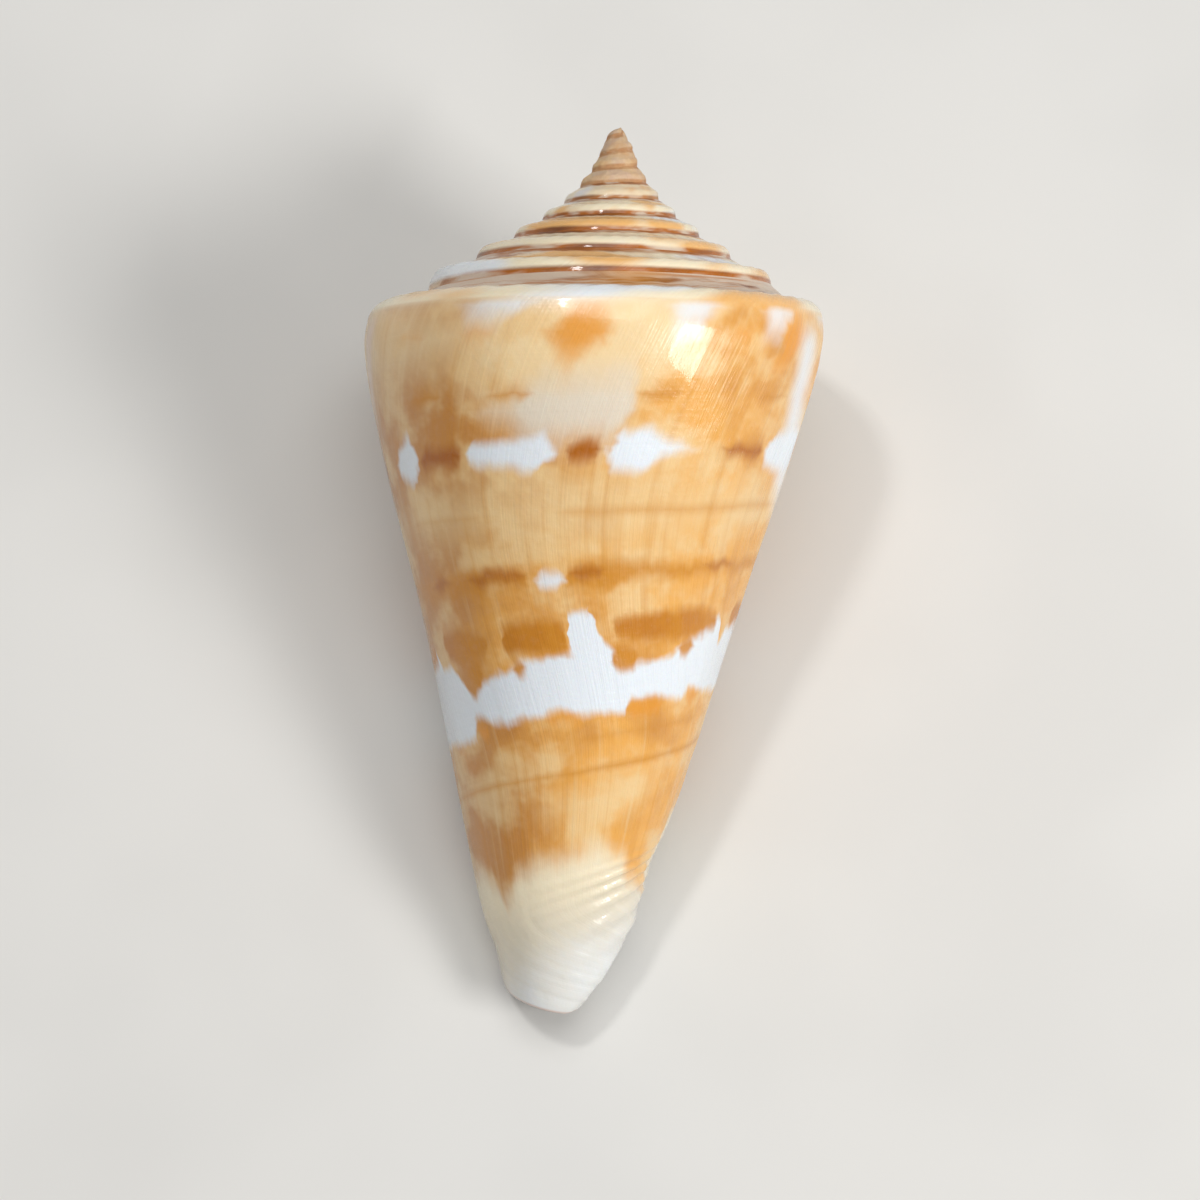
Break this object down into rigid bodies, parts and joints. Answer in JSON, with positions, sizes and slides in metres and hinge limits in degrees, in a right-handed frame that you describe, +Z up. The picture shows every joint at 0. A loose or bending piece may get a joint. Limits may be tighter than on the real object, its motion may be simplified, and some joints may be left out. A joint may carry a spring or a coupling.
{
  "type": "cone shell",
  "caption": "Slender cone shell lying aperture-down: stepped concave spire, rounded shoulder, tapering body whorl, narrow full-length aperture and notched anterior end.",
  "frame": {"origin": "centre of the shell's outline on the surface that it lies on", "axes": "+Y from the notched anterior end towards the spire, level with the surface; +Z up, out of the shell's back; the coiling axis lies in the YZ plane, its apex raised 14.4 degrees; the aperture faces down, with the outer lip on the -X side"},
  "size_m": [0.022, 0.041, 0.0199],
  "materials": {
    "shell": "polished orange-tan aragonite with white clouds and brown spiral dashes; the first whorls are worn dull pinkish tan"
  },
  "bodies": {
    "root": {"shell": "shell"}
  },
  "joints": []
}
